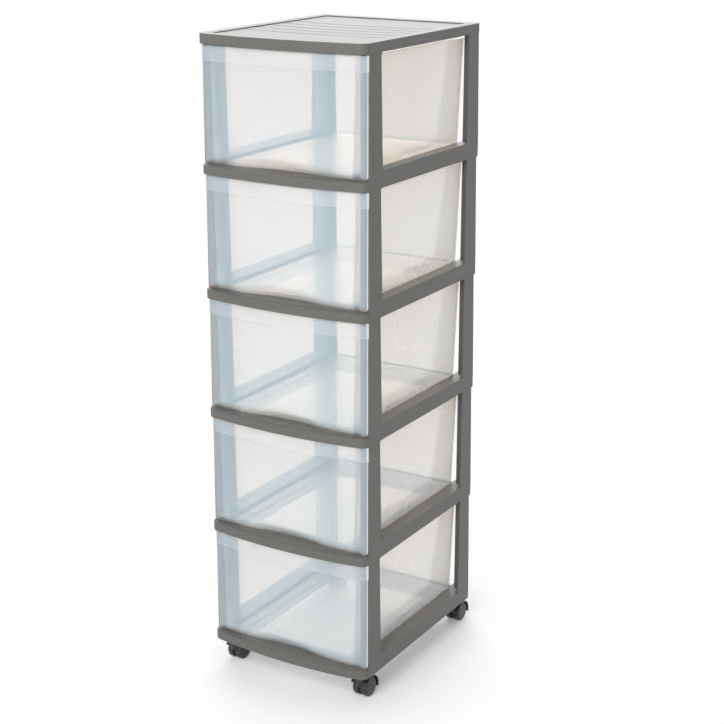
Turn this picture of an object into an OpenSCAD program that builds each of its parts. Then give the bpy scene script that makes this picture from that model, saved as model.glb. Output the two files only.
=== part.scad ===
// Drawer tower: five stacked tier frames under a moulded cap, each with a clear
// drawer, on four twin-wheel castors. Millimetres, +Z up, drawers open towards -Y.
// The origin lies on the floor, below the middle of the tower with its castors trailing.

/* [Tower] */
// Outer width of the frames
width = 285; // [270:1:310]
// Depth from the front of the posts to the rear of the frames
depth = 328; // [310:1:350]
// Height that each tier adds to the stack
tier_pitch = 190; // [180:1:205]
// How far the ends of the front rail stand ahead of the posts
lip = 12; // [10:0.5:14]
// How far the front rail bows out in the middle beyond its ends
bow = 12.5; // [9:0.5:15]
// Radius of the front corners seen from above
front_corner_r = 14; // [11:0.5:17]
// Radius of the rear corners seen from above
rear_corner_r = 5; // [4:0.5:6]

/* [Tier frame] */
// Wall of the frame mouldings
wall = 2.4; // [2:0.1:2.8]
// Height of the deck that the drawer slides on
deck_h = 15.7; // [15:0.1:18]
// Height of the front rail's face, below its sloping top
face_h = 13; // [12:0.1:14]
// Depth of the slope from the face of the front rail to its deck
slope_d = 6; // [4:0.5:7]
// Height of the kerb that guides each side of the drawer
kerb_h = 25; // [22:0.5:30]
// Width of the kerb
kerb_w = 16.5; // [15.5:0.5:18]
// Width of the deck inside each kerb
runner_w = 26; // [20:1:32]
// Depth of the front rail behind the front of the posts, at its middle
front_deck_d = 9; // [7:0.5:12]
// How far that rail's inner edge falls back from its middle to its ends
front_deck_fall = 11; // [8:0.5:12]
// Depth of the rear rail
rear_deck_d = 42; // [38:1:46]
// Radius of the rear corners of the open middle
inner_corner_r = 12; // [8:1:16]
// Thickness of the ribs under the rails
rib_t = 1.6; // [1.4:0.1:2]
// Height of the ribs' lower edges above the foot of the frame
rib_lift = 3; // [2:0.5:5]
// Spacing of the ribs along the front and rear rails
rail_rib_pitch = 40; // [30:1:45]
// Spacing of the ribs along the side rails
side_rib_pitch = 45; // [35:1:50]
// Depth of the finger dish in the top of the front rail
dish_d = 2.4; // [1.5:0.1:3]
// Half the width of that dish
dish_half = 58; // [45:1:66]

/* [Posts] */
// Width of a post across the tower
post_w = 16; // [15:0.5:18]
// Depth of a front post at its foot
front_post_d = 35; // [32:0.5:38]
// Depth of a rear post at its foot
rear_post_d = 37; // [34:0.5:40]
// How much the window side of a post draws in from foot to head
window_draft = 3; // [1:0.5:4]
// How much the outer faces of a post draw in from foot to head
side_draft = 1.2; // [0.5:0.1:1.6]
// How much the rear face of a rear post draws in from foot to head
rear_draft = 2.4; // [1:0.1:3]
// How much further the inner wall of a front post reaches back
guide_reach = 3; // [2:0.5:4]
// Width of the rear wall of a rear post
rear_flange_w = 24.5; // [22:0.5:26]
// Diameter of the round column in each post
column_d = 8.6; // [8:0.1:9]
// Height of the column's foot above the kerb
column_lift = 4; // [2:0.5:6]
// Height of the spigot that the column carries at its head
spigot_h = 8; // [6:0.5:9]
// Running clearance of the spigot in its socket, on the radius
spigot_fit = 0.05; // [0.03:0.01:0.08]
// Wall of the sockets that take the spigots
socket_wall = 2.2; // [1.8:0.1:2.6]
// Radius of the fillet at the head of each window
window_fillet = 4; // [3:0.5:6]

/* [Cap] */
// Height of the cap
cap_h = 15; // [14:0.5:18]
// Width of the raised border round its tray
border_w = 17; // [14:0.5:20]
// Depth of the tray
tray_d = 1.5; // [1:0.1:1.8]
// Number of shallow grooves across the tray
groove_n = 5; // [3:1:7]
// Spacing of these grooves
groove_pitch = 34; // [25:1:38]
// Distance from the front edge of the cap to the first groove
groove_start = 96; // [85:1:105]
// Width of a groove
groove_w = 3; // [2:0.5:4]
// Depth of a groove
groove_d = 0.6; // [0.3:0.1:0.8]
// Height of the ribs' lower edges above the foot of the cap
cap_rib_lift = 4; // [3:0.5:6]
// Distance of the outer ribs from the middle rib, across the cap
cap_rib_x = 80; // [60:1:95]
// Distance of the outer ribs from the middle rib, along the cap
cap_rib_y = 90; // [75:1:110]

/* [Drawer] */
// Wall of the drawer moulding
drawer_t = 1.8; // [1.6:0.1:2.2]
// Gap below the drawer where it seats on the deck
seat_gap = 0.3; // [0.2:0.05:0.4]
// Gap above the drawer front
head_gap = 1.5; // [1:0.1:2.5]
// Gap between the sides of the drawer front and the outside of the frame
side_gap = 1.2; // [0.8:0.1:2]
// Gap between the drawer front and the posts behind it
rest_gap = 0.8; // [0.5:0.1:1]
// Height of the thicker band along the top of the front
band_h = 23; // [18:1:28]
// How far that band stands out
band_t = 1; // [0.6:0.1:1.4]
// Gap between the rim of the tub and the posts on each side
tub_gap = 0.8; // [0.6:0.1:1.2]
// Height of the rim round the tub
rim_h = 3; // [2:0.5:5]
// How far the rim stands out from the tub
rim_t = 1.2; // [0.8:0.1:1.4]
// Gap above the tub
tub_head_gap = 6; // [4:0.5:10]
// How much each side of the tub draws in from rim to floor
tub_draft = 1.5; // [1:0.1:2]
// Gap between the tub and the rear of the frame
tub_rear_gap = 9; // [7:0.5:12]
// Radius of the rear corners of the tub
tub_corner_r = 14; // [10:1:18]
// Radius along the bottom edges of the tub
tub_edge_r = 5; // [4:0.5:6]
// Half the width of the finger scoop at the bottom of the front
scoop_half = 72; // [60:1:80]
// Depth of the finger scoop
scoop_d = 21; // [16:1:22]
// Height over which the scoop runs out
scoop_h = 34; // [26:1:40]
// Radius of the lower corners of the drawer front
return_r = 5.5; // [4:0.5:7]
// Depth of the flange along the top of the front
top_flange = 8; // [6:0.5:10]
// Distance of the two gussets below that flange from the middle
gusset_x = 57; // [40:1:80]
// Width of a gusset
gusset_w = 5; // [3:0.5:8]
// Height of a gusset
gusset_h = 12; // [8:0.5:18]
// Height of the raised panel in the floor
floor_panel_t = 0.8; // [0.5:0.1:1]
// Distance of that panel from the walls and from the scoop
floor_panel_inset = 34; // [25:1:40]
// Width of the cross of channels that parts it
channel_w = 6; // [4:0.5:10]

/* [Castors] */
// Height from the floor to the underside of the lowest frame
castor_h = 45; // [43:0.5:50]
// Distance of each stem from the side of the frame
stem_inset = 23; // [22:0.5:24]
// Distance of the stems from the front of the posts and from the rear of the frame
stem_end_inset = 11.7; // [10.5:0.1:13]
// Diameter of the stem
stem_d = 8; // [7:0.1:8.4]
// Length of the stem in its socket
stem_grip = 11.5; // [10:0.5:12]
// Length of the stem in the hood
stem_foot = 10.4; // [9:0.1:11]
// Clearance of the stem in socket and hood, on the radius
stem_fit = 0.05; // [0.03:0.01:0.08]
// Diameter of the flange between hood and frame
flange_d = 15; // [13:0.5:16]
// Thickness of that flange
flange_t = 1.6; // [1.2:0.1:2]
// Gap between that flange and the hood
swivel_gap = 0.3; // [0.2:0.05:0.4]
// Wall round the stem in the hood
collar_wall = 3.2; // [2.6:0.1:3.6]
// Wall round the stem in the frame
boss_wall = 3; // [2.4:0.1:3.4]
// Distance from the stem to the axle
trail = 12; // [11:0.5:13]
// Diameter of the wheels
wheel_d = 32; // [30:0.5:34]
// Width of one wheel
wheel_w = 11.5; // [10:0.5:12.5]
// Thickness of the web between the wheels
web_t = 4; // [3.4:0.1:5]
// Side play of a wheel
wheel_play = 0.4; // [0.3:0.05:0.6]
// Diameter of the axle
axle_d = 5; // [4:0.1:5.6]
// Clearance of the axle, on the radius
axle_fit = 0.05; // [0.03:0.01:0.08]
// Wall of the hub round the axle
hub_wall = 2; // [1.6:0.1:2.6]
// Thickness of the disc that closes a wheel on its outside
disc_t = 4.5; // [4:0.1:5]
// Thickness of the rim that carries the tread
rim_wall = 3; // [2.4:0.1:3.6]
// Rounding of the tread's outer edge
tread_r = 4; // [3:0.5:5]
// Gap between the tread and the hood
hood_gap = 1.2; // [0.8:0.1:1.6]
// Thickness of the hood
hood_t = 2.2; // [1.8:0.1:2.6]
// How far the hood reaches past the wheels on each side
hood_side = 0.4; // [0.2:0.1:1]
// Angle at which the hood starts behind the wheels, measured from the rear
hood_from = -18; // [-25:1:-5]
// Angle at which it ends ahead of them
hood_to = 152; // [140:1:160]

/* [Hidden] */
$fn = 96;
tier_n = 5;

frame_grey = [0.40, 0.40, 0.39];
clear_blue = [0.78, 0.85, 0.90, 0.45];
castor_black = [0.13, 0.13, 0.14];
steel = [0.72, 0.72, 0.74];

eps = 0.01;
over = 1;
// Spare depth at the blind end of a bore
blind = 0.5;

// Plan of the frames: a bowed front whose arc meets the sides in round corners.
// y = 0 is the front of the posts here, and place() moves it to the part's origin.
half_w = width / 2;
bow_r = (half_w * half_w + bow * bow) / (2 * bow);
bow_y = bow_r - lip - bow;
corner_x = half_w - front_corner_r;
corner_y = bow_y - sqrt(pow(bow_r - front_corner_r, 2) - corner_x * corner_x);
corner_dir_x = corner_x / (bow_r - front_corner_r);
front_y = -lip - bow;

// Posts
post_in_x = half_w - post_w;
kerb_in_x = half_w - kerb_w;
runner_in_x = kerb_in_x - runner_w;
column_sink = 0.6;
column_inset = 0.8;
column_x = half_w - side_draft - wall - column_d / 2 + column_sink;
front_column_y = front_post_d - window_draft - column_d / 2 - column_inset;
rear_column_y = depth - rear_post_d + window_draft + column_d / 2 + column_inset;
socket_d = column_d + 2 * spigot_fit;
socket_deep = spigot_h + blind;

// Inner edge of the front rail: an arc through its middle and its two ends
inner_fall_r = (runner_in_x * runner_in_x + front_deck_fall * front_deck_fall) / (2 * front_deck_fall);
rear_in_y = depth - rear_deck_d;

// Drawer, in the same frame as its tier
drawer_z = deck_h + seat_gap;
front_top = tier_pitch - head_gap;
panel_back = slope_d - side_gap;
tub_top = tier_pitch - tub_head_gap;
rim_half = post_in_x - tub_gap;
tub_half = rim_half - rim_t;
tub_rear_y = depth - tub_rear_gap;
panel_front_y = front_y + panel_back + side_gap;
scoop_back_y = panel_front_y + scoop_d;
scoop_bow_y = bow_y + panel_back - sqrt(pow(bow_r - side_gap, 2) - scoop_half * scoop_half);
scoop_sag = scoop_back_y - scoop_bow_y;
scoop_r = (scoop_half * scoop_half + scoop_sag * scoop_sag) / (2 * scoop_sag);
scoop_y = scoop_back_y - scoop_r;
scoop_slope = scoop_d / scoop_h;

// Castors
stem_x = half_w - stem_inset;
front_stem_y = stem_end_inset;
rear_stem_y = depth - stem_end_inset;
wheel_r = wheel_d / 2;
hood_in_r = wheel_r + hood_gap;
hood_out_r = hood_in_r + hood_t;
wheel_x = web_t / 2 + wheel_play;
hood_half = wheel_x + wheel_w + hood_side;
stem_bore = stem_d + 2 * stem_fit;
stem_low = castor_h - flange_t - stem_foot;
collar_top = castor_h - flange_t - swivel_gap;
axle_cover = 1.6;
axle_half = wheel_x + wheel_w - axle_cover;

// Middle of the tower from front to rear, with the rear castors trailing behind it
rear_reach = max(depth, rear_stem_y + trail + hood_out_r);
mid_y = (rear_reach + front_y) / 2;

module place(z) {
    translate([0, -mid_y, z]) children();
}

module both_sides() {
    children();
    mirror([1, 0, 0]) children();
}

// A solid with a side profile: the children are drawn as (y, z) and swept across x0..x1
module across(x0, x1) {
    translate([x0, 0, 0])
        rotate([90, 0, 90])
            linear_extrude(x1 - x0) children();
}

// A solid with a front profile: the children are drawn as (x, z) and swept over y0..y1
module along(y0, y1) {
    translate([0, y1, 0])
        rotate([90, 0, 0])
            linear_extrude(y1 - y0) children();
}

// Plan outline, moved inwards by inset at the front and sides and ending at y_end
module plan(inset, y_end) {
    r = front_corner_r - inset;
    reach_x = corner_x + r * corner_dir_x;
    intersection() {
        translate([0, bow_y]) circle(r = bow_r - inset, $fn = 720);
        translate([-reach_x, front_y]) square([2 * reach_x, corner_y - front_y + eps]);
    }
    both_sides() translate([corner_x, corner_y]) circle(r = r);
    translate([-half_w + inset, corner_y]) square([width - 2 * inset, y_end - corner_y]);
}

// Plan of a frame or of the cap, with its rear corners rounded as well
module frame_plan(inset) {
    r = rear_corner_r - inset / 2;
    rear = depth - inset;
    plan(inset, rear - r);
    translate([-half_w + inset + r, corner_y]) square([width - 2 * inset - 2 * r, rear - corner_y]);
    both_sides() translate([half_w - inset - r, rear - r]) circle(r = r);
}

// Open middle of a tier frame, grown by grow on every side
module middle_plan(grow) {
    r = inner_corner_r + grow;
    x = runner_in_x + grow;
    front = front_deck_d - grow;
    rear = rear_in_y + grow;
    intersection() {
        translate([0, front_deck_d + inner_fall_r]) circle(r = inner_fall_r + grow, $fn = 360);
        union() {
            translate([-x, front]) square([2 * x, rear - r - front]);
            translate([-x + r, front]) square([2 * x - 2 * r, rear - front]);
            both_sides() translate([x - r, rear - r]) circle(r = r);
        }
    }
}

module box(x0, x1, y0, y1, z0, z1) {
    translate([x0, y0, z0]) cube([x1 - x0, y1 - y0, z1 - z0]);
}

// Places of the four columns, which are also the places of the sockets above them
module at_columns() {
    both_sides() {
        translate([column_x, front_column_y, 0]) children();
        translate([column_x, rear_column_y, 0]) children();
    }
}

// Places of the four castor stems
module at_stems() {
    both_sides() {
        translate([stem_x, front_stem_y, 0]) children();
        translate([stem_x, rear_stem_y, 0]) children();
    }
}

// ---- Tier frame: base ring, kerbs, posts, sockets and spigots in one moulding ----

// What is cut off to slope the top of the front rail down to its face
module slope_profile(r) {
    polygon([[r - slope_d, deck_h], [r + over, face_h - (deck_h - face_h) * over / slope_d],
             [r + over, deck_h + over], [r - slope_d, deck_h + over]]);
}

module front_slope() {
    intersection() {
        translate([0, bow_y, 0]) rotate_extrude($fn = 720) slope_profile(bow_r);
        box(-corner_x, corner_x, front_y - over, corner_y, 0, tier_pitch);
    }
    both_sides() intersection() {
        translate([corner_x, corner_y, 0]) rotate_extrude() slope_profile(front_corner_r);
        box(corner_x, half_w + over, front_y, 0, 0, tier_pitch);
    }
}

// Shallow dish for the fingers in the top of the front rail
module finger_dish() {
    dish_y = (front_y + slope_d + scoop_back_y) / 2;
    dish_half_d = (scoop_back_y - front_y - slope_d) / 2 + wall;
    r_d = (dish_half_d * dish_half_d + dish_d * dish_d) / (2 * dish_d);
    r_w = (dish_half * dish_half + dish_d * dish_d) / (2 * dish_d);
    intersection() {
        translate([0, dish_y, deck_h - dish_d + r_d])
            rotate([0, 90, 0]) cylinder(r = r_d, h = width, center = true);
        translate([0, dish_y, deck_h - dish_d + r_w])
            rotate([90, 0, 0]) cylinder(r = r_w, h = width, center = true, $fn = 360);
        box(-dish_half, dish_half, dish_y - dish_half_d, dish_y + dish_half_d, 0, tier_pitch);
    }
}

// Hollow underside of the ring: shallow below the front rail, deeper below the rest and the kerbs
module ring_hollow() {
    split_y = front_post_d;
    intersection() {
        translate([0, 0, -over]) linear_extrude(face_h - wall + over) difference() {
            frame_plan(wall);
            middle_plan(wall);
        }
        box(-half_w, half_w, front_y, split_y, -over, deck_h);
    }
    intersection() {
        translate([0, 0, -over]) linear_extrude(deck_h - wall + over) difference() {
            frame_plan(wall);
            middle_plan(wall);
        }
        box(-half_w, half_w, split_y - eps, depth, -over, deck_h);
    }
    both_sides() box(kerb_in_x + wall, half_w - wall, split_y, depth - rear_post_d, -over, kerb_h - wall);
}

// Thin rib at x, from y0 to y1, and one at y, from x0 to x1
module rib_across(x, y0, y1, z0, z1) {
    box(x - rib_t / 2, x + rib_t / 2, y0, y1, z0, z1);
}

module rib_along(y, x0, x1, z0, z1) {
    box(x0, x1, y - rib_t / 2, y + rib_t / 2, z0, z1);
}

// Web that carries the inner side of a kerb down to the foot, from y0 to y1
module kerb_web(y0, y1, z1) {
    box(kerb_in_x, kerb_in_x + rib_t, y0, y1, 0, z1);
}

module ring_ribs() {
    intersection() {
        linear_extrude(deck_h - wall / 2) difference() {
            frame_plan(wall / 2);
            middle_plan(wall / 2);
        }
        union() {
            for (i = [-2:2]) {
                rib_across(i * rail_rib_pitch, front_y, front_post_d, rib_lift, face_h);
                rib_across(i * rail_rib_pitch, rear_in_y, depth, rib_lift, deck_h);
            }
            both_sides() {
                for (i = [-2:2])
                    rib_along(depth / 2 + i * side_rib_pitch, runner_in_x, half_w, rib_lift, deck_h);
                kerb_web(front_y, front_post_d, face_h);
                kerb_web(front_post_d - eps, depth, deck_h);
            }
        }
    }
}

// Front profile of the posts on the right: vertical inside, drafted outside
module post_front_profile(x_in, t) {
    polygon([[x_in, -over], [half_w - t, -over], [half_w - t, kerb_h],
             [half_w - side_draft - t, tier_pitch], [half_w - side_draft - t, tier_pitch + over],
             [x_in, tier_pitch + over]]);
}

// Side profile of a front post between its front face and its window side
module front_post_profile(t, back) {
    polygon([[t, 0], [back, 0], [back, kerb_h], [back - window_draft, tier_pitch], [t, tier_pitch]]);
}

// Side profile of a rear post, from its window side, drafted by draft, to t inside its rear face
module rear_post_profile(window_y, draft, t) {
    polygon([[window_y, 0], [depth - t, 0], [depth - t, kerb_h], [depth - rear_draft - t, tier_pitch],
             [window_y + draft, tier_pitch], [window_y, kerb_h]]);
}

module front_post() {
    difference() {
        intersection() {
            across(post_in_x, half_w) front_post_profile(0, front_post_d);
            along(-over, depth) post_front_profile(post_in_x, 0);
        }
        intersection() {
            across(post_in_x + wall, half_w) front_post_profile(wall, depth);
            along(-over, depth) post_front_profile(post_in_x, wall);
            box(0, half_w, 0, depth, kerb_h, tier_pitch);
        }
    }
    across(post_in_x, post_in_x + wall) front_post_profile(0, front_post_d + guide_reach);
}

module rear_post() {
    window_y = depth - rear_post_d;
    difference() {
        intersection() {
            across(post_in_x, half_w) rear_post_profile(window_y, window_draft, 0);
            along(0, depth + over) post_front_profile(post_in_x, 0);
        }
        intersection() {
            across(post_in_x - over, half_w) rear_post_profile(window_y - over, 0, wall);
            along(0, depth + over) post_front_profile(post_in_x - over, wall);
            box(0, half_w, 0, depth, kerb_h, tier_pitch + over);
        }
    }
    across(half_w - rear_flange_w, post_in_x + wall) rear_post_profile(depth - wall, -rear_draft, 0);
}

// Round column with the spigot at its head, joined to the post's outer wall by a web
module column(y) {
    foot = kerb_h + column_lift;
    translate([column_x, y, foot]) cylinder(d = column_d, h = tier_pitch + spigot_h - foot);
    intersection() {
        box(column_x, half_w, y - wall / 2, y + wall / 2, foot, tier_pitch);
        along(0, depth) post_front_profile(0, wall / 2);
    }
}

// Fillets that the posts carry at the head of each window, in their outer walls
module window_fillets() {
    f = window_fillet;
    across(half_w - side_draft - wall, half_w - side_draft) {
        translate([front_post_d - window_draft - eps, tier_pitch - f]) difference() {
            square([f, f]);
            translate([f, 0]) circle(r = f);
        }
        translate([depth - rear_post_d + window_draft + eps - f, tier_pitch - f]) difference() {
            square([f, f]);
            circle(r = f);
        }
    }
}

module tier_frame(tier) {
    color(frame_grey) place(castor_h + (tier - 1) * tier_pitch) difference() {
        union() {
            difference() {
                union() {
                    linear_extrude(deck_h) frame_plan(0);
                    both_sides() box(kerb_in_x, half_w, wall, depth - wall, 0, kerb_h);
                }
                translate([0, 0, -over]) linear_extrude(kerb_h) middle_plan(0);
                front_slope();
                finger_dish();
                ring_hollow();
            }
            ring_ribs();
            both_sides() {
                front_post();
                rear_post();
                column(front_column_y);
                column(rear_column_y);
                window_fillets();
            }
            at_columns() cylinder(d = socket_d + 2 * socket_wall, h = deck_h - wall / 2);
            at_stems() cylinder(d = stem_bore + 2 * boss_wall, h = deck_h - wall / 2);
        }
        at_columns() translate([0, 0, -over]) cylinder(d = socket_d, h = socket_deep + over);
        at_stems() translate([0, 0, -over]) cylinder(d = stem_bore, h = stem_grip + blind + over);
    }
}

// ---- Cap: a shallow tray over the top tier ----

module tray_plan() {
    r = rear_corner_r;
    x = half_w - border_w;
    rear = depth - border_w;
    intersection() {
        translate([0, bow_y]) circle(r = bow_r - border_w, $fn = 720);
        union() {
            translate([-x, front_y]) square([2 * x, rear - r - front_y]);
            translate([-x + r, front_y]) square([2 * x - 2 * r, rear - front_y]);
            both_sides() translate([x - r, rear - r]) circle(r = r);
        }
    }
}

module top_cap() {
    floor_z = cap_h - tray_d;
    color(frame_grey) place(castor_h + tier_n * tier_pitch) difference() {
        union() {
            difference() {
                linear_extrude(cap_h) frame_plan(0);
                translate([0, 0, -over]) linear_extrude(floor_z - wall + over) frame_plan(wall);
            }
            intersection() {
                linear_extrude(floor_z - wall / 2) frame_plan(wall / 2);
                union() {
                    for (i = [-1:1]) {
                        rib_across(i * cap_rib_x, front_y, depth, cap_rib_lift, floor_z);
                        rib_along(depth / 2 + i * cap_rib_y, -half_w, half_w, cap_rib_lift, floor_z);
                    }
                    both_sides() kerb_web(front_y, depth, floor_z);
                }
            }
            at_columns() cylinder(d = socket_d + 2 * socket_wall, h = floor_z - wall / 2);
        }
        translate([0, 0, floor_z]) linear_extrude(tray_d + over) tray_plan();
        intersection() {
            translate([0, 0, floor_z - groove_d]) linear_extrude(cap_h) tray_plan();
            translate([0, bow_y, 0]) for (i = [0:groove_n - 1])
                rotate_extrude($fn = 720)
                    translate([bow_r - groove_start - i * groove_pitch, 0]) square([groove_w, cap_h]);
        }
        at_columns() translate([0, 0, -over]) cylinder(d = socket_d, h = socket_deep + over);
    }
}

// ---- Drawer: bowed front, tub and rim in one clear moulding ----

// Plan of the drawer from its front skin backwards, moved inwards by inset
module drawer_plan(inset) {
    translate([0, panel_back]) plan(side_gap + inset, depth);
}

// Plan of the part of the front that stands ahead of the posts
module front_plan(inset) {
    intersection() {
        drawer_plan(inset);
        translate([-half_w, front_y]) square([width, -front_y - rest_gap]);
    }
}

// Box of the tub with drafted sides, round rear corners and round bottom edges
module tub_block(t, top) {
    e = tub_edge_r - t;
    half = tub_half - t;
    foot = half - tub_draft;
    rear = tub_rear_y - t;
    low = drawer_z + t;
    r = tub_corner_r - t;
    intersection() {
        linear_extrude(top) {
            translate([-half, front_y]) square([2 * half, rear - r - front_y]);
            translate([-half + r, front_y]) square([2 * half - 2 * r, rear - front_y]);
            both_sides() translate([half - r, rear - r]) circle(r = r);
        }
        along(front_y, depth) {
            polygon([[-foot + e, low], [foot - e, low], [foot, low + e], [half, tub_top], [half, top],
                     [-half, top], [-half, tub_top], [-foot, low + e]]);
            both_sides() translate([foot - e, low + e]) circle(r = e);
        }
        across(-half, half) {
            polygon([[front_y, low], [rear - tub_draft - e, low], [rear - tub_draft, low + e],
                     [rear, tub_top], [rear, top], [front_y, top]]);
            translate([rear - tub_draft - e, low + e]) circle(r = e);
        }
        translate([0, 0, low]) linear_extrude(top) drawer_plan(t);
    }
}

// Round-bottomed hollow of the finger scoop: a cone that narrows upwards, grown by grow
module scoop(grow) {
    head = scoop_h + tub_edge_r;
    translate([0, scoop_y, drawer_z - over])
        cylinder(r1 = scoop_r + grow + scoop_slope * over, r2 = scoop_r + grow - scoop_slope * head,
                 h = head + over, $fn = 360);
}

// Front skin with its returns and its thicker band
module drawer_front() {
    t = drawer_t;
    difference() {
        union() {
            translate([0, 0, drawer_z]) linear_extrude(front_top - drawer_z) front_plan(0);
            translate([0, 0, front_top - band_h]) linear_extrude(band_h) front_plan(-band_t);
        }
        translate([0, 0, drawer_z - over]) linear_extrude(tier_pitch) front_plan(t);
        across(-half_w, half_w) translate([-rest_gap - return_r, drawer_z]) difference() {
            translate([0, -over]) square([return_r + over, return_r + over]);
            translate([0, return_r]) circle(r = return_r);
        }
    }
}

// Flange along the top of the front, with two gussets below it
module flange_plan() {
    difference() {
        front_plan(drawer_t / 2);
        front_plan(top_flange);
    }
}

module front_flange() {
    translate([0, 0, front_top - drawer_t]) linear_extrude(drawer_t) flange_plan();
    both_sides() intersection() {
        box(gusset_x - gusset_w / 2, gusset_x + gusset_w / 2, front_y, 0,
            front_top - gusset_h, front_top);
        linear_extrude(front_top) flange_plan();
    }
}

module drawer(tier) {
    t = drawer_t;
    color(clear_blue) place(castor_h + (tier - 1) * tier_pitch) difference() {
        union() {
            difference() {
                union() {
                    drawer_front();
                    tub_block(0, tub_top);
                    tub_rim();
                }
                tub_block(t, tier_pitch);
            }
            intersection() {
                scoop(t * sqrt(1 + scoop_slope * scoop_slope));
                translate([0, 0, drawer_z]) linear_extrude(scoop_h + drawer_t) drawer_plan(0);
            }
            front_flange();
            floor_panel();
        }
        scoop(0);
    }
}

// Bead that stiffens the top of the tub
module tub_rim() {
    translate([0, 0, tub_top - rim_h]) linear_extrude(rim_h) intersection() {
        r = tub_corner_r + rim_t;
        rear = tub_rear_y + rim_t;
        drawer_plan(0);
        union() {
            translate([-rim_half, front_y]) square([2 * rim_half, rear - r - front_y]);
            translate([-rim_half + r, front_y]) square([2 * rim_half - 2 * r, rear - front_y]);
            both_sides() translate([rim_half - r, rear - r]) circle(r = r);
        }
    }
}

// Raised panel in the floor, parted by a cross of shallow channels
module floor_panel() {
    x = tub_half - tub_draft - floor_panel_inset;
    y0 = scoop_back_y + floor_panel_inset;
    y1 = tub_rear_y - tub_draft - floor_panel_inset;
    mid = (y0 + y1) / 2;
    c = channel_w / 2;
    z0 = drawer_z + drawer_t / 2;
    z1 = drawer_z + drawer_t + floor_panel_t;
    both_sides() {
        box(c, x, y0, mid - c, z0, z1);
        box(c, x, mid + c, y1, z0, z1);
    }
}

// ---- Castors, drawn round their own stem with the floor at z = 0 ----

module place_castor(side, rear) {
    place(0) translate([side * stem_x, rear ? rear_stem_y : front_stem_y, 0]) children();
}

module castor_stem(side, rear) {
    tip_h = 1;
    tip_z = castor_h + stem_grip - tip_h;
    color(steel) place_castor(side, rear) {
        translate([0, 0, castor_h - flange_t]) cylinder(d = flange_d, h = flange_t);
        translate([0, 0, stem_low]) cylinder(d = stem_d, h = tip_z - stem_low);
        translate([0, 0, tip_z]) cylinder(d1 = stem_d, d2 = stem_d - 2 * tip_h, h = tip_h);
    }
}

// Part of a disc round the axle, from the angle a0 over the top to a1, measured from the rear
module sector(r, a0, a1) {
    steps = 6;
    intersection() {
        circle(r = r);
        polygon(concat([[0, 0]],
                       [for (i = [0:steps])
                           let (a = a0 + (a1 - a0) * i / steps)
                               2 * r * [cos(a), sin(a)]]));
    }
}

module castor_hood(side, rear) {
    collar_low = wheel_r + hub_wall + axle_d / 2;
    color(castor_black) place_castor(side, rear) difference() {
        union() {
            difference() {
                union() {
                    translate([0, trail, wheel_r]) across(-hood_half, hood_half)
                        sector(hood_out_r, hood_from, hood_to);
                    translate([0, 0, collar_low])
                        cylinder(d = stem_bore + 2 * collar_wall, h = collar_top - collar_low);
                }
                for (s = [-1, 1]) translate([0, trail, wheel_r])
                    across(s > 0 ? web_t / 2 : -width, s > 0 ? width : -web_t / 2) circle(r = hood_in_r);
            }
            translate([0, trail, wheel_r]) across(-web_t / 2, web_t / 2) circle(r = wheel_r - rim_wall);
        }
        translate([0, 0, stem_low - blind]) cylinder(d = stem_bore, h = castor_h);
        translate([0, trail, wheel_r]) rotate([0, 90, 0])
            cylinder(d = axle_d + 2 * axle_fit, h = width, center = true);
    }
}

module axle(side, rear) {
    color(steel) place_castor(side, rear) translate([0, trail, wheel_r]) rotate([0, 90, 0])
        cylinder(d = axle_d, h = 2 * axle_half, center = true);
}

// Half section of a wheel: radius, and distance from its inner face
module wheel_profile() {
    w = wheel_w;
    r = wheel_r;
    bore = axle_d / 2 + axle_fit;
    deep = axle_half - wheel_x + swivel_gap;
    hub = bore + hub_wall;
    rim = r - rim_wall;
    edge = 1;
    dish = 0.6;
    polygon(concat(
        [[bore, 0], [hub, 0], [hub, w - disc_t], [rim, w - disc_t], [rim, 0]],
        [for (a = [0:30:90]) [r - edge + edge * sin(a), edge - edge * cos(a)]],
        [for (a = [0:15:75])
            [r - tread_r + tread_r * cos(a), w - tread_r + (tread_r - dish) * sin(a)]],
        [[r * 0.45, w], [0, w], [0, deep], [bore, deep]]));
}

// hand is 1 for the wheel on the right of the web and -1 for the one on the left
module wheel(side, rear, hand) {
    color(castor_black) place_castor(side, rear) translate([hand * wheel_x, trail, wheel_r])
        rotate([0, hand * 90, 0]) rotate_extrude() wheel_profile();
}

top_cap();
tier_frame(1);  // tier_frame_1
tier_frame(2);  // tier_frame_2
tier_frame(3);  // tier_frame_3
tier_frame(4);  // tier_frame_4
tier_frame(5);  // tier_frame_5
drawer(1);  // drawer_1
drawer(2);  // drawer_2
drawer(3);  // drawer_3
drawer(4);  // drawer_4
drawer(5);  // drawer_5
castor_stem(-1, false);  // castor_stem_front_left
castor_stem(1, false);  // castor_stem_front_right
castor_stem(-1, true);  // castor_stem_rear_left
castor_stem(1, true);  // castor_stem_rear_right
castor_hood(-1, false);  // castor_hood_front_left
castor_hood(1, false);  // castor_hood_front_right
castor_hood(-1, true);  // castor_hood_rear_left
castor_hood(1, true);  // castor_hood_rear_right
axle(-1, false);  // axle_front_left
axle(1, false);  // axle_front_right
axle(-1, true);  // axle_rear_left
axle(1, true);  // axle_rear_right
wheel(-1, false, -1);  // wheel_front_left_a
wheel(-1, false, 1);  // wheel_front_left_b
wheel(1, false, -1);  // wheel_front_right_a
wheel(1, false, 1);  // wheel_front_right_b
wheel(-1, true, -1);  // wheel_rear_left_a
wheel(-1, true, 1);  // wheel_rear_left_b
wheel(1, true, -1);  // wheel_rear_right_a
wheel(1, true, 1);  // wheel_rear_right_b
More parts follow.
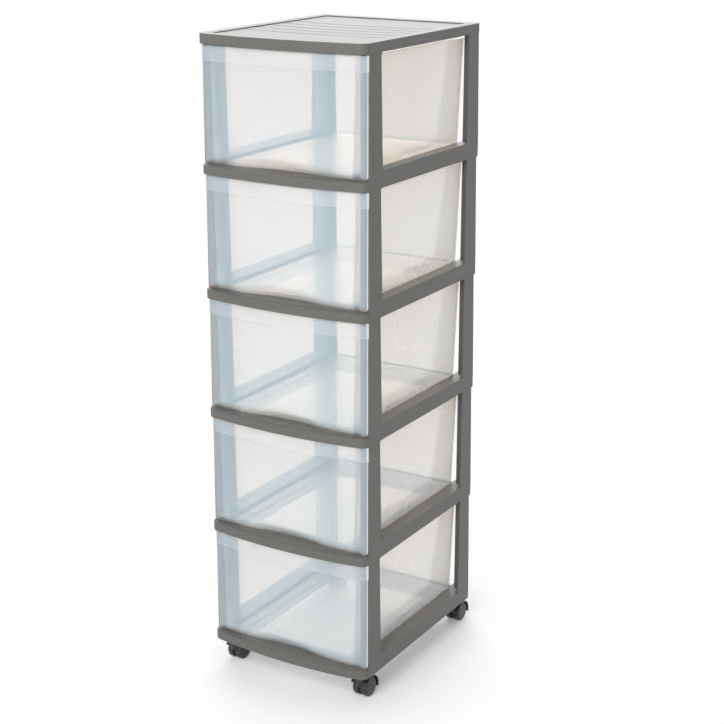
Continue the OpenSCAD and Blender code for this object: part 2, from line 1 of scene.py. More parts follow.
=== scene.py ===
# %% [markdown]
# # A tower of clear drawers on castors
#
# The real object is a stack of five grey mouldings with a clear drawer in each, a tray-like cap
# on top and four small castors below. The measured model already holds every solid, its joints
# and its sizes. This notebook dresses it: soft moulded edges, plastics that look like plastics,
# a pale studio and a camera. Lengths are in metres throughout.
#

# %% Load the measured model
import math

import bmesh
import bpy
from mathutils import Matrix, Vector
from mathutils.bvhtree import BVHTree


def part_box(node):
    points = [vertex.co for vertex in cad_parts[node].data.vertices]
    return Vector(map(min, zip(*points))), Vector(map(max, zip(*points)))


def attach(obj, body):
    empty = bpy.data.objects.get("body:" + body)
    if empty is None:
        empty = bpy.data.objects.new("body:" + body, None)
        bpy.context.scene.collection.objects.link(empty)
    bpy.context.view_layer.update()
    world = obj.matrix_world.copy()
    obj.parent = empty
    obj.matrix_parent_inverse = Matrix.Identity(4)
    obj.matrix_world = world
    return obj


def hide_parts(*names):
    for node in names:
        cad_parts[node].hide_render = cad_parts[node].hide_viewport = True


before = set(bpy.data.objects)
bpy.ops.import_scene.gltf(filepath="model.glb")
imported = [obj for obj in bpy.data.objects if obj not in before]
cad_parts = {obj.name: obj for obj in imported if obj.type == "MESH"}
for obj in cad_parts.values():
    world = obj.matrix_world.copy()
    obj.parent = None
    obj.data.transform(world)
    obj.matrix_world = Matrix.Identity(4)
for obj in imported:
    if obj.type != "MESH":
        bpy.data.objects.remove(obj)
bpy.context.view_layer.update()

# %% [markdown]
# ## Names and steps that everything uses
#
# The tiers are counted from 1 at the bottom. Their pitch, the height that each tier adds, is read
# from the model, so that it can't drift away from it. A corner of the tower is named by its end
# and side. Every new object goes into the scene in the same way, so one helper does that.

# %% Read the tier pitch and the names
tiers = range(1, 1 + sum(name.startswith("tier_frame_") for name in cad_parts))
corners = ("front_left", "front_right", "rear_left", "rear_right")
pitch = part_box("tier_frame_2")[0].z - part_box("tier_frame_1")[0].z
print("tiers:", len(tiers), "pitch:", round(pitch * 1000, 2), "mm")


# %% A helper for new objects
def add_object(name, data):
    """A new object that holds the data, linked into the scene."""
    made = bpy.data.objects.new(name, data)
    bpy.context.scene.collection.objects.link(made)
    return made


# %% [markdown]
# ## The camera
#
# It stands ahead of the right front corner and a little above the cap, and looks down at the
# middle of the tower. A lens of about 80 mm keeps the uprights nearly parallel.

# %% Set up the camera
yaw, fall = math.radians(31.139), math.radians(17.531)
sight = Vector((-math.sin(yaw) * math.cos(fall), math.cos(yaw) * math.cos(fall), -math.sin(fall)))
camera = add_object("camera", bpy.data.cameras.new("camera"))
camera.location = (1.2695, -2.0490, 1.2502)
camera.rotation_mode = "QUATERNION"
camera.rotation_quaternion = sight.to_track_quat("-Z", "Y")
camera.data.sensor_width = 36
camera.data.lens = 79.36
camera.data.clip_start, camera.data.clip_end = 0.05, 100
bpy.context.scene.camera = camera
bpy.context.scene.view_settings.view_transform = "Standard"
print("the camera looks along", tuple(round(v, 3) for v in sight))

# %% [markdown]
# ## Building materials from nodes
#
# Three small helpers keep the materials short. One turns a colour as a paint chart gives it into
# the linear values that a renderer mixes. One adds a node with its settings, its values and its
# links. The last starts an empty material.
#
# Most inputs go by name. A Mix node has several inputs of the same name, one for each kind of
# value, so its two colours go by number: 6 and 7 are the first and the second, and 2 is the
# mixed colour that comes out. Math and shader mixing nodes are numbered for the same reason.

# %% Helpers for colours and nodes
def linear(code, alpha=1.0):
    """A colour such as "8FA0B0" as linear red, green, blue and alpha."""
    parts = [int(code[i:i + 2], 16) / 255 for i in (0, 2, 4)]
    return [v / 12.92 if v <= 0.04045 else ((v + 0.055) / 1.055) ** 2.4 for v in parts] + [alpha]


def add_node(tree, kind, inputs=None, **settings):
    """Adds a node. Each input is given a value, or the socket of another node that feeds it."""
    node = tree.nodes.new(kind)
    for name, value in settings.items():
        setattr(node, name, value)
    for name, value in (inputs or {}).items():
        if isinstance(value, bpy.types.NodeSocket):
            tree.links.new(value, node.inputs[name])
        else:
            node.inputs[name].default_value = value
    return node


def new_finish(name):
    """A material with an empty node tree, and that tree."""
    finish = bpy.data.materials.new(name)
    finish.use_nodes = True
    finish.node_tree.nodes.clear()
    return finish, finish.node_tree


print("mid grey is", [round(v, 3) for v in linear("808080")])

# %% [markdown]
# ## Grey polypropylene
#
# The frames and the cap are injection moulded polypropylene with a spark-eroded mould texture:
# satin, with a fine grain that breaks up the highlights. The colour drifts by a percent or two
# where the melt flowed, over a few centimetres. The real grain is about 0.3 mm, too fine to show
# from three metres, so it is drawn at about 1.5 mm and kept very shallow.

# %% Make the grey polypropylene
grey_polypropylene, tree = new_finish("grey_polypropylene")
place = add_node(tree, "ShaderNodeTexCoord").outputs["Object"]
flow = add_node(tree, "ShaderNodeTexNoise", {"Vector": place, "Scale": 22.0, "Detail": 2.0})
grain = add_node(tree, "ShaderNodeTexNoise", {"Vector": place, "Scale": 650.0, "Detail": 1.0})
tint = add_node(tree, "ShaderNodeMix", {"Factor": flow.outputs["Fac"], 6: linear("5F5F5C"),
                                        7: linear("656561")}, data_type="RGBA")
satin = add_node(tree, "ShaderNodeMapRange", {"Value": grain.outputs["Fac"], "To Min": 0.40,
                                              "To Max": 0.52})
bump = add_node(tree, "ShaderNodeBump", {"Height": grain.outputs["Fac"], "Strength": 0.12,
                                         "Distance": 0.0004})
skin = add_node(tree, "ShaderNodeBsdfPrincipled",
                {"Base Color": tint.outputs[2], "Roughness": satin.outputs["Result"],
                 "Normal": bump.outputs["Normal"], "IOR": 1.49})
add_node(tree, "ShaderNodeOutputMaterial", {"Surface": skin.outputs["BSDF"]})
print("made", grey_polypropylene.name)

# %% [markdown]
# ## Clear polystyrene
#
# The drawers are clear polystyrene with a faint blue haze. Each wall lets most light through a
# little warmer and scatters the rest back a little bluer, and it mirrors the room more and more
# towards grazing angles. Glass with refraction would be slow and noisy through eight or more
# walls, and such thin flat walls hardly bend what is behind them. So the surface mixes a
# see-through part, a hazy part and a glossy part. For a lamp's own ray the see-through part is
# nearly clear, so that the insides aren't darker than they are behind real, thin walls.
#
# Four strengths are needed: the wall, the thick band along the front's top, the edges, and the
# floor, which is scuffed and more neutral. The edge strength is a painted highlight: a paler,
# denser haze that stands for the light that travelled inside the plastic and comes out there.
# Each is given as shares of red, green and blue light, not as a colour of paint, so these are
# plain numbers. The haze drifts over about 7 cm.

# %% A helper for the clear polystyrene
lamp_share = 0.9         # of a lamp's ray, what one face lets through
grazing_mirror = 0.95    # of what meets a face edge-on, what it mirrors


def clear_styrene(name, passed, clouded, polish, shine, whole=(0.995, 1.0, 0.995)):
    """passed is what one face lets through and clouded is the same where the haze is densest.
    whole is what it passes and scatters together: what is missing to 1 is lost in it. polish is
    how rough its gloss is, and shine is the share that it mirrors when it is seen straight on."""
    finish, tree = new_finish(name)
    place = add_node(tree, "ShaderNodeTexCoord").outputs["Object"]
    cloud = add_node(tree, "ShaderNodeTexNoise", {"Vector": place, "Scale": 14.0, "Detail": 2.0})
    clear = add_node(tree, "ShaderNodeMix", {"Factor": cloud.outputs["Fac"], 6: (*passed, 1),
                                             7: (*clouded, 1)}, data_type="RGBA").outputs[2]
    milky = add_node(tree, "ShaderNodeMix", {"Factor": 1.0, 6: (*whole, 1), 7: clear},
                     data_type="RGBA", blend_type="SUBTRACT").outputs[2]
    lamp_ray = add_node(tree, "ShaderNodeLightPath").outputs["Is Shadow Ray"]
    kept = add_node(tree, "ShaderNodeMix", {"Factor": lamp_ray, 6: clear,
                                            7: (lamp_share, lamp_share, lamp_share, 1)},
                    data_type="RGBA").outputs[2]
    through = add_node(tree, "ShaderNodeBsdfTransparent", {"Color": kept})
    back = add_node(tree, "ShaderNodeBsdfDiffuse", {"Color": milky})
    ahead = add_node(tree, "ShaderNodeBsdfTranslucent", {"Color": milky})
    haze = add_node(tree, "ShaderNodeMixShader", {0: 0.5, 1: back.outputs[0], 2: ahead.outputs[0]})
    body = add_node(tree, "ShaderNodeAddShader", {0: through.outputs[0], 1: haze.outputs[0]})
    edge_on = add_node(tree, "ShaderNodeLayerWeight", {"Blend": 0.5}).outputs["Facing"]
    grazing = add_node(tree, "ShaderNodeMath", {0: edge_on, 1: 5.0}, operation="POWER")
    mirror = add_node(tree, "ShaderNodeMath",
                      {0: grazing.outputs[0], 1: grazing_mirror - shine, 2: shine},
                      operation="MULTIPLY_ADD", use_clamp=True)
    gloss = add_node(tree, "ShaderNodeBsdfGlossy", {"Color": (1, 1, 1, 1), "Roughness": polish})
    surface = add_node(tree, "ShaderNodeMixShader", {0: mirror.outputs[0], 1: body.outputs[0],
                                                     2: gloss.outputs[0]})
    add_node(tree, "ShaderNodeOutputMaterial", {"Surface": surface.outputs[0]})
    return finish


# %% Make the clear polystyrene in four strengths
clear_wall = clear_styrene("clear_polystyrene_wall", passed=(0.785, 0.73, 0.68),
                           clouded=(0.765, 0.70, 0.64), polish=0.16, shine=0.05)
clear_band = clear_styrene("clear_polystyrene_band", passed=(0.60, 0.53, 0.46),
                           clouded=(0.56, 0.49, 0.41), polish=0.20, shine=0.05)
# The edge strength is a painted highlight for the light that leaves the plastic at its rims.
clear_edge_painted_highlight = clear_styrene("clear_polystyrene_edge_painted_highlight", passed=(0.24, 0.235, 0.23),
                           clouded=(0.18, 0.175, 0.17), polish=0.20, shine=0.40)
clear_floor = clear_styrene("clear_polystyrene_floor", passed=(0.755, 0.745, 0.73),
                            clouded=(0.735, 0.725, 0.71), polish=0.40, shine=0.04,
                            whole=(0.94, 0.94, 0.93))
print("made", clear_wall.name, clear_band.name, clear_edge_painted_highlight.name, clear_floor.name)

# %% [markdown]
# ## Black nylon and zinc
#
# The castors are black nylon, moulded with a satin skin that scuffs a little paler, in flecks of
# about 4 mm. Their stems and axles are zinc-plated steel: a cool grey metal with a fine, upright
# drawn grain.

# %% Make the black nylon
black_nylon, tree = new_finish("black_nylon")
place = add_node(tree, "ShaderNodeTexCoord").outputs["Object"]
scuff = add_node(tree, "ShaderNodeTexNoise", {"Vector": place, "Scale": 260.0, "Detail": 3.0})
tint = add_node(tree, "ShaderNodeMix", {"Factor": scuff.outputs["Fac"], 6: linear("262628"),
                                        7: linear("323234")}, data_type="RGBA")
satin = add_node(tree, "ShaderNodeMapRange", {"Value": scuff.outputs["Fac"], "To Min": 0.30,
                                              "To Max": 0.46})
bump = add_node(tree, "ShaderNodeBump", {"Height": scuff.outputs["Fac"], "Strength": 0.1,
                                         "Distance": 0.0003})
skin = add_node(tree, "ShaderNodeBsdfPrincipled",
                {"Base Color": tint.outputs[2], "Roughness": satin.outputs["Result"],
                 "Normal": bump.outputs["Normal"], "IOR": 1.53})
add_node(tree, "ShaderNodeOutputMaterial", {"Surface": skin.outputs["BSDF"]})
print("made", black_nylon.name)

# %% Make the zinc plating
zinc_plating, tree = new_finish("zinc_plating")
place = add_node(tree, "ShaderNodeTexCoord").outputs["Object"]
drawn = add_node(tree, "ShaderNodeMapping", {"Vector": place, "Scale": (1500, 1500, 60)})
grain = add_node(tree, "ShaderNodeTexNoise", {"Vector": drawn.outputs["Vector"], "Scale": 1.0})
satin = add_node(tree, "ShaderNodeMapRange", {"Value": grain.outputs["Fac"], "To Min": 0.28,
                                              "To Max": 0.42})
skin = add_node(tree, "ShaderNodeBsdfPrincipled",
                {"Base Color": linear("C3C5C6"), "Metallic": 1.0,
                 "Roughness": satin.outputs["Result"]})
add_node(tree, "ShaderNodeOutputMaterial", {"Surface": skin.outputs["BSDF"]})
print("made", zinc_plating.name)

# %% [markdown]
# ## Soft moulded edges
#
# A mould's edges are never knife sharp: they have a radius of about half a millimetre, and it is
# this radius that catches a line of light along every rim. The measured solids have sharp edges,
# so each piece is a copy of its solid with the triangles of its flat faces joined, a small bevel
# on what is left of its edges, and normals weighted by area so that the flat faces stay flat.

# %% A copy of a measured solid with soft edges
flat_below = math.radians(0.6)    # faces that meet at less than this are one flat face
edge_above = math.radians(32)     # faces that meet at more than this get a rounded edge


def plain(piece, name):
    """A new object with the piece's mesh as its modifiers leave it. The piece itself goes."""
    graph = bpy.context.evaluated_depsgraph_get()
    mesh = bpy.data.meshes.new_from_object(piece.evaluated_get(graph), depsgraph=graph)
    made = add_object(name, mesh)
    bpy.data.objects.remove(piece)
    return made


def soft_copy(node, name, radius, finishes, reshape=None):
    """A copy of a node with joined flat faces and bevelled edges. The bevels take the second
    finish, where there is one. reshape, where it is given, moves the copy's points first."""
    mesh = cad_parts[node].data.copy()
    work = bmesh.new()
    work.from_mesh(mesh)
    bmesh.ops.remove_doubles(work, verts=work.verts, dist=1e-6)
    bmesh.ops.dissolve_limit(work, angle_limit=flat_below, verts=work.verts, edges=work.edges)
    if reshape:
        reshape(work)
    for face in work.faces:
        face.smooth = True
        face.material_index = 0
    work.to_mesh(mesh)
    work.free()
    mesh.materials.clear()
    for finish in finishes:
        mesh.materials.append(finish)
    copy = add_object(name + "_sharp", mesh)
    bevel = copy.modifiers.new("moulded edges", "BEVEL")
    bevel.width = radius
    bevel.segments = 2
    bevel.limit_method = "ANGLE"
    bevel.angle_limit = edge_above
    bevel.miter_outer = "MITER_ARC"
    bevel.material = min(1, len(finishes) - 1)
    weigh = copy.modifiers.new("flat faces stay flat", "WEIGHTED_NORMAL")
    weigh.weight = 100
    weigh.keep_sharp = True
    return plain(copy, name)


cap = soft_copy("top_cap", "cap", 0.0007, [grey_polypropylene])
print("the cap has", len(cap.data.polygons), "faces")

# %% [markdown]
# ## Stacking mouldings with Geometry Nodes
#
# The five tier frames come from one mould, and so do the five drawers. A node tree copies one
# moulding up the tower: a line of points, one point to a tier, an instance on each, the instances
# made real and the finishes set. Its inputs are named, so the same tree makes all the frames in
# one piece and, with a count of one, each drawer on its own.

# %% Build the stacking tree
finish_inputs = ("Wall finish", "Edge finish", "Band finish", "Floor finish")
stack = bpy.data.node_groups.new("stack of mouldings", "GeometryNodeTree")
sockets = {}
for name, kind in (("Moulding", "NodeSocketObject"), ("Count", "NodeSocketInt"),
                   ("Pitch", "NodeSocketFloat"), ("Rise", "NodeSocketFloat"),
                   *[(label, "NodeSocketMaterial") for label in finish_inputs]):
    sockets[name] = stack.interface.new_socket(name, in_out="INPUT", socket_type=kind).identifier
stack.interface.new_socket("Stack", in_out="OUTPUT", socket_type="NodeSocketGeometry")
given = add_node(stack, "NodeGroupInput").outputs
start = add_node(stack, "ShaderNodeCombineXYZ", {"Z": given["Rise"]})
step = add_node(stack, "ShaderNodeCombineXYZ", {"Z": given["Pitch"]})
line = add_node(stack, "GeometryNodeMeshLine", {"Count": given["Count"],
                                                "Start Location": start.outputs[0],
                                                "Offset": step.outputs[0]})
moulding = add_node(stack, "GeometryNodeObjectInfo", {"Object": given["Moulding"]})
placed = add_node(stack, "GeometryNodeInstanceOnPoints", {"Points": line.outputs["Mesh"],
                                                          "Instance": moulding.outputs["Geometry"]})
shape = add_node(stack, "GeometryNodeRealizeInstances", {"Geometry": placed.outputs[0]}).outputs[0]
kind_of_face = add_node(stack, "GeometryNodeInputNamedAttribute", {"Name": "finish"},
                        data_type="INT")
for number, name in enumerate(finish_inputs):
    picked = add_node(stack, "FunctionNodeCompare", {2: kind_of_face.outputs["Attribute"],
                                                     3: number}, data_type="INT",
                      operation="EQUAL")
    shape = add_node(stack, "GeometryNodeSetMaterial", {"Geometry": shape,
                                                        "Selection": picked.outputs[0],
                                                        "Material": given[name]}).outputs[0]
add_node(stack, "NodeGroupOutput", {0: shape})
print("the tree has", len(stack.nodes), "nodes")


# %% A helper that runs the tree
def stacked(moulding, name, count, rise, finishes):
    """Copies of one moulding up the tower as one plain mesh."""
    kinds = moulding.data.attributes.get("finish") or moulding.data.attributes.new(
        "finish", "INT", "FACE")
    kinds.data.foreach_set("value", [f.material_index for f in moulding.data.polygons])
    holder = add_object(name + "_stack", bpy.data.meshes.new(name))
    modifier = holder.modifiers.new("stack", "NODES")
    modifier.node_group = stack
    values = {"Moulding": moulding, "Count": count, "Pitch": pitch, "Rise": rise,
              **dict(zip(finish_inputs, finishes))}
    for label, value in values.items():
        modifier[sockets[label]] = value
    return plain(holder, name)


# %% [markdown]
# ## The tier frames
#
# One moulding with a hollow ring at its foot, a bowed front rail and four posts. Two of its forms
# are finer on the real moulding than in the measured solid: the kerbs on which the drawer runs are
# wider and fall a little towards it, and the ring's open middle has a straight front edge. Both are
# made by moving points of the copy, which keeps its faces closed. Its edges are then rounded once,
# and the tree stacks it five times.
#
# The points are found by where they lie on the measured solid, so the next cell repeats a few of
# its sizes. They run from the middle of the tower, the front of its posts and the frame's foot.

# %% Name the places on a tier frame
frame_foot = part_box("tier_frame_1")[0].z
post_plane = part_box("tier_frame_1")[1].y - 0.328    # the front of the posts
kerb_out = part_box("tier_frame_1")[1].x
solid_kerb_in, kerb_top = 0.126, 0.025    # the measured kerb's inner face and its top
kerb_width, kerb_fall = 0.0263, 0.003     # the real kerb's width and how far its top falls
ring_half, ring_front, ring_rear, ring_top = 0.1026, 0.0055, 0.29, 0.016    # round its middle
arch_crown, arch_radius, arch_half, arch_rear = 0.009, 0.46005, 0.1, 0.0201
ring_edge = 0.0193       # where the straight front edge of the middle runs
ring_share = 0.93        # how wide the real middle is beside the measured one
print("the kerbs reach in to", round((kerb_out - kerb_width) * 1000, 1), "mm from the middle")


# %% Widen the kerbs and straighten the ring
def wider_kerbs(work):
    """Moves the inner face of each kerb in to where the tub's foot runs, lets the kerb's top fall
    towards it, and makes the middle of the ring a rectangle with round rear corners."""
    for vert in work.verts:
        side = -1 if vert.co.x < 0 else 1
        x, y, z = abs(vert.co.x), vert.co.y - post_plane, vert.co.z - frame_foot
        if abs(x - solid_kerb_in) < 1e-4 and ring_top - 0.001 < z < kerb_top + 1e-4:
            x = kerb_out - kerb_width
        if abs(z - kerb_top) < 2e-5 and x > 0.115:
            z -= kerb_fall * (kerb_out - x) / kerb_width
        if x < ring_half and ring_front < y < ring_rear and z < ring_top:
            if y < arch_rear:
                arch = math.sqrt(arch_radius ** 2 - min(x, arch_half) ** 2)
                y += ring_edge - (arch_crown + arch_radius - arch)
            x *= ring_share
        vert.co = (side * x, y + post_plane, z + frame_foot)


one_frame = soft_copy("tier_frame_1", "one_frame", 0.0006, [grey_polypropylene], wider_kerbs)
tier_frames = stacked(one_frame, "tier_frames", len(tiers), 0.0, [grey_polypropylene] * 4)
bpy.data.objects.remove(one_frame)
print("the tier frames have", len(tier_frames.data.polygons), "faces")

# %% [markdown]
# ## The drawers
#
# One clear moulding: a bowed front with a thicker band along its top, a tub behind it and a
# recess for the fingers at its foot. On the real drawer that recess is no sharp scoop: the whole
# foot of the front runs back in one soft sweep, deepest in the middle, and the tub's sides lean in
# towards its floor. The copy's front is cut into a fine grid, and each point of it moves back to
# where the sweep lies, with the wall's thickness kept.
#
# Light travels inside the walls and leaves at the edges, which is why the rims of clear drawers
# look bright. That light is painted: the bevels, the step below the band and the ends of the front
# get a paler, denser finish, a painted highlight, and the band and the floor get their own.

# %% The line of the front's foot
drawer_low, drawer_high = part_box("drawer_1")
foot_side, foot_middle = -0.0065, 0.001    # where it stands, seen from the front of the posts
foot_bend = 0.26         # the radius of its middle, seen from above
foot_slope = 1.083       # how far it comes forward for each step up
foot_blend, bow_blend = 0.004, 0.011       # how softly middle and sides, foot and bow, meet


def level(a, b, blend):
    """The larger of two numbers, with a soft change from one to the other."""
    return max(a, b) + max(0.0, blend - abs(a - b)) ** 2 / (4 * blend)


def foot_plan(x, rise):
    """How far back the front's foot stands at x, rise above the drawer's underside."""
    middle = foot_middle - x * x / (2 * foot_bend)
    return level(foot_side, middle, foot_blend) - foot_slope * rise


foot_depth = foot_plan(0, 0) - drawer_low.y + post_plane
print("the foot stands back by", round(foot_depth * 1000, 1), "mm")

# %% [markdown]
# ### Sweeping the foot back
#
# The sweep is a rule for where the wall's outer skin lies. A ray from ahead finds the old skin at
# each point, which tells the outer skin from the inner one. The inner skin follows it at the wall's
# thickness, and that grows with the slope, because it is measured across the wall. The move fades
# out towards the ends of the front and towards the top of the sweep.

# %% Sweep the foot of the front back
front_half, front_wall = 0.138, 0.0018     # the front without its returns, and its wall
row, column = 0.0022, 0.0061               # the grid that the front is cut into
sweep_top, end_fade, top_fade = 0.042, 0.012, 0.006
scoop_half = 0.09                          # the measured scoop lies within this
tub_half, tub_lean, tub_height = 0.1258, 0.0675, 0.168


def softer_front(work):
    """Draws the foot of the bowed front back in one soft sweep and leans the tub's sides in."""
    front_skin = BVHTree.FromBMesh(work)

    def outside(x, z):
        """How far back the measured front's outer skin stands, or None where there is none."""
        hit = front_skin.ray_cast(Vector((x, drawer_low.y - 0.1, z)), Vector((0, 1, 0)))[0]
        return None if hit is None else hit.y - post_plane

    def drawn(x, bow, z):
        """How far back the real front's outer skin stands, where the bow above it is known."""
        return level(bow, foot_plan(x, z - drawer_low.z), bow_blend)

    def cut(point, normal, chosen):
        """Cuts the chosen faces where they cross a plane."""
        near = [f for f in work.faces if chosen(f.calc_center_median(), f)]
        parts = set(near)
        for f in near:
            parts.update(f.edges)
            parts.update(f.verts)
        bmesh.ops.bisect_plane(work, geom=list(parts), plane_co=point, plane_no=normal, dist=1e-6)

    def in_front(f):
        """Whether a face reaches ahead of the posts."""
        return min(v.co.y for v in f.verts) - post_plane < -0.001

    for step in range(1, 17):
        cut((0, 0, drawer_low.z + 0.002 + row * step), (0, 0, 1),
            lambda c, f: in_front(f) and abs(c.x) < front_half and c.z < drawer_low.z + 0.16)
    for step in range(-22, 23):
        cut((column * step, 0, 0), (1, 0, 0),
            lambda c, f: in_front(f) and c.z < drawer_low.z + 0.045)
    cut((0, post_plane + 0.001, 0), (0, 1, 0), lambda c, f: 0.095 < abs(c.x) < 0.126)

    moves = []
    for vert in work.verts:
        x, y, z = vert.co.x, vert.co.y - post_plane, vert.co.z
        rise = z - drawer_low.z
        if abs(x) < front_half and y < 0.0075 and rise < sweep_top:
            old, bow = outside(x, max(z, drawer_low.z + 5e-5)), outside(x, drawer_low.z + 0.06)
            deep = 0.0065 if abs(x) < scoop_half else 0.0027
            if old is not None and bow is not None and y - old < deep:
                new = drawn(x, bow, z)
                lean = (drawn(x, bow, z - 0.0005) - drawn(x, bow, z + 0.0005)) / 0.001
                wall = front_wall * math.sqrt(1 + lean * lean) if y - old > 0.0003 else 0.0
                fade = min(1.0, max(0.0, (front_half - abs(x)) / end_fade))
                fade *= min(1.0, max(0.0, (sweep_top - rise) / top_fade))
                moves.append((vert, x, y + (new + wall - y) * fade))
                continue
        if abs(x) < tub_half and y > 0.0009:
            lean_in = tub_lean * max(0.0, 1 - rise / tub_height)
            moves.append((vert, x * (1 - lean_in), y))
    for vert, x, y in moves:
        vert.co.x, vert.co.y = x, y + post_plane


drawer_finishes = [clear_wall, clear_edge_painted_highlight, clear_band, clear_floor]
# The bevels take the second finish, the painted edge highlight.
one_drawer = soft_copy("drawer_1", "one_drawer", 0.00045, drawer_finishes, softer_front)
print("one drawer has", len(one_drawer.data.polygons), "faces")

# %% Sort the drawer's faces by finish
WALL, EDGE_PAINTED_HIGHLIGHT, BAND, FLOOR = range(4)
band_foot = drawer_high.z - 0.0232
band_rear = drawer_low.y + 0.026
for face in one_drawer.data.polygons:
    # The step below the band and the ends of the front take the painted edge highlight.
    step_highlight = abs(face.center.z - band_foot) < 0.0009
    end_highlight = abs(face.center.x) > drawer_high.x - 0.0024
    if face.center.y < band_rear and (step_highlight or end_highlight):
        face.material_index = EDGE_PAINTED_HIGHLIGHT
    elif face.material_index == WALL and face.center.z > band_foot and face.center.y < band_rear:
        face.material_index = BAND
    elif face.material_index == WALL and face.center.z < drawer_low.z + 0.004:
        face.material_index = FLOOR
sorted_faces = [sum(f.material_index == kind for f in one_drawer.data.polygons)
                for kind in (WALL, EDGE_PAINTED_HIGHLIGHT, BAND, FLOOR)]
print("faces of wall, edge, band and floor:", sorted_faces)

# %% Make the five drawers
drawers = {}
for tier in tiers:
    drawers[tier] = stacked(one_drawer, f"drawer_{tier}_clear", 1, (tier - 1) * pitch,
                            drawer_finishes)
bpy.data.objects.remove(one_drawer)
print("each drawer has", len(drawers[1].data.polygons), "faces")

# %% [markdown]
# ## The castors
#
# Small twin-wheel castors: a black hood over two wheels, on a zinc stem. Hoods and wheels get
# softer edges, and the steel pins keep their measured shape and only take the plating.

# %% Round the hoods and wheels
castor_edge = 0.0005
castor_pieces = []
for corner in corners:
    hood = soft_copy(f"castor_hood_{corner}", f"hood_{corner}", castor_edge, [black_nylon])
    castor_pieces.append((hood, f"castor_{corner}", f"castor_hood_{corner}"))
    for half in "ab":
        node = f"wheel_{corner}_{half}"
        wheel = soft_copy(node, f"{node}_black", castor_edge, [black_nylon])
        castor_pieces.append((wheel, node, node))
    for pin in (f"castor_stem_{corner}", f"axle_{corner}"):
        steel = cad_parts[pin]
        steel.data.materials.clear()
        steel.data.materials.append(zinc_plating)
print("castor pieces:", len(castor_pieces))

# %% [markdown]
# ## Every piece rides on its body
#
# A drawer slides, a hood swivels and a wheel turns. Each dressed piece is tied to the body that
# carries its solid, and that solid is hidden.

# %% Tie the pieces to their bodies
def tie(piece, body, slot, *nodes):
    """Lets a piece move with a body and hides the solids that it replaces. slot is not used."""
    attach(piece, body)
    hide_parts(*nodes)


tie(cap, "tower", "frame_plastic", "top_cap")
tie(tier_frames, "tower", "frame_plastic", *[f"tier_frame_{tier}" for tier in tiers])
for tier in tiers:
    tie(drawers[tier], f"drawer_{tier}", "clear_plastic", f"drawer_{tier}")
for piece, body, node in castor_pieces:
    tie(piece, body, "castor_plastic", node)

# %% [markdown]
# ## The studio
#
# A white sweep: the floor is matt white and bright enough to run into the white surroundings,
# yet it keeps the soft shadow at the foot of the tower. Light comes from a wide softbox ahead,
# with a weak one at the right side and a wide one above and behind that draws a sheen over the
# cap.
#
# Both the floor and the room are white only where they are looked at, by the camera itself or in
# a mirroring or clear wall. To the light that bounces round the room they are dimmer, so that
# they don't flood the tower.

# %% A helper that tells looking from lighting
def looked_at(tree):
    """1 for a ray from the camera or one that was mirrored or passed on by glass, and else 0."""
    path = add_node(tree, "ShaderNodeLightPath").outputs
    seen = add_node(tree, "ShaderNodeMath", {0: path["Is Camera Ray"], 1: path["Is Glossy Ray"]},
                    operation="MAXIMUM")
    return add_node(tree, "ShaderNodeMath", {0: seen.outputs[0], 1: path["Is Transmission Ray"]},
                    operation="MAXIMUM").outputs[0]


# %% Lay the floor
floor_half = 30
shadow_from, shadow_to = 0.18, 0.40        # the floor turns from paper to plain white in between
floor_finish, tree = new_finish("white_floor")
place = add_node(tree, "ShaderNodeTexCoord").outputs["Object"]
away = add_node(tree, "ShaderNodeVectorMath", {0: place}, operation="LENGTH").outputs["Value"]
near = add_node(tree, "ShaderNodeMapRange", {"Value": away, "From Min": shadow_from,
                                             "From Max": shadow_to, "To Min": 0.2, "To Max": 1.0},
                interpolation_type="SMOOTHSTEP")
bounced = add_node(tree, "ShaderNodeBsdfDiffuse", {"Color": (0.8, 0.8, 0.8, 1)})
shown = add_node(tree, "ShaderNodeBsdfDiffuse", {"Color": (1, 1, 1, 1)})
white = add_node(tree, "ShaderNodeEmission", {"Color": (1, 1, 1, 1), "Strength": 1.0})
sweep = add_node(tree, "ShaderNodeMixShader", {0: near.outputs["Result"], 1: shown.outputs[0],
                                               2: white.outputs[0]})
paper = add_node(tree, "ShaderNodeMixShader", {0: looked_at(tree), 1: bounced.outputs[0],
                                               2: sweep.outputs[0]})
add_node(tree, "ShaderNodeOutputMaterial", {"Surface": paper.outputs[0]})
floor_mesh = bpy.data.meshes.new("floor")
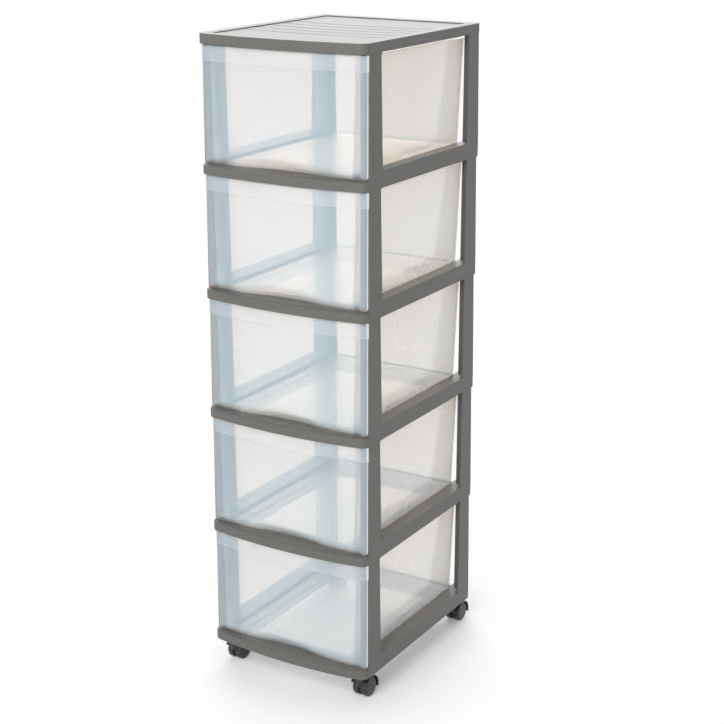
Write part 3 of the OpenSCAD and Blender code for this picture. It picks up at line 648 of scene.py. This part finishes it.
floor_mesh.from_pydata([(-floor_half, -floor_half, 0), (floor_half, -floor_half, 0),
                        (floor_half, floor_half, 0), (-floor_half, floor_half, 0)],
                       [], [(0, 1, 2, 3)])
floor_mesh.materials.append(floor_finish)
floor = add_object("floor", floor_mesh)
print("floor laid")

# %% Light the room
world = bpy.data.worlds.new("white room")
bpy.context.scene.world = world
world.use_nodes = True
world.node_tree.nodes.clear()
tree = world.node_tree
strength = add_node(tree, "ShaderNodeMapRange", {"Value": looked_at(tree), "To Min": 0.42,
                                                 "To Max": 1.0})
room = add_node(tree, "ShaderNodeBackground", {"Color": (1, 1, 1, 1),
                                               "Strength": strength.outputs["Result"]})
add_node(tree, "ShaderNodeOutputWorld", {"Surface": room.outputs[0]})
print("the room has", len(tree.nodes), "nodes")


# %% Hang the softboxes
def softbox(name, place, aim, size, power):
    """A square lamp at a place, turned to what it aims at. power is in watts."""
    lamp = add_object(name, bpy.data.lights.new(name, "AREA"))
    lamp.data.shape = "SQUARE"
    lamp.data.size = size
    lamp.data.energy = power
    lamp.location = place
    lamp.rotation_mode = "QUATERNION"
    lamp.rotation_quaternion = (Vector(aim) - Vector(place)).to_track_quat("-Z", "Y")


softbox("front softbox", (0.5, -3.7, 2.9), aim=(0, 0, 0.5), size=2.4, power=140)
softbox("side softbox", (3.6, -1.4, 2.0), aim=(0, 0, 0.5), size=1.6, power=8)
softbox("rear softbox", (-1.2, 2.6, 2.4), aim=(0, 0, 0.9), size=3.6, power=92)

# %% [markdown]
# ## Render settings that belong to the object
#
# A look through the tower passes many clear walls, and each counts as a transparent bounce, so
# the limit goes up from 8. Without that the deepest walls would render black. The lamps also
# throw tiny glints from one glossy wall onto the next, which add nothing but grain, so light
# that was scattered first and mirrored then is left out, and the brightest single samples of
# what has bounced are held down.

# %% Allow for many clear walls and leave out stray glints
bpy.context.scene.cycles.transparent_max_bounces = 48
bpy.context.scene.cycles.caustics_reflective = False
bpy.context.scene.cycles.sample_clamp_indirect = 2.0
print("transparent bounces:", bpy.context.scene.cycles.transparent_max_bounces)
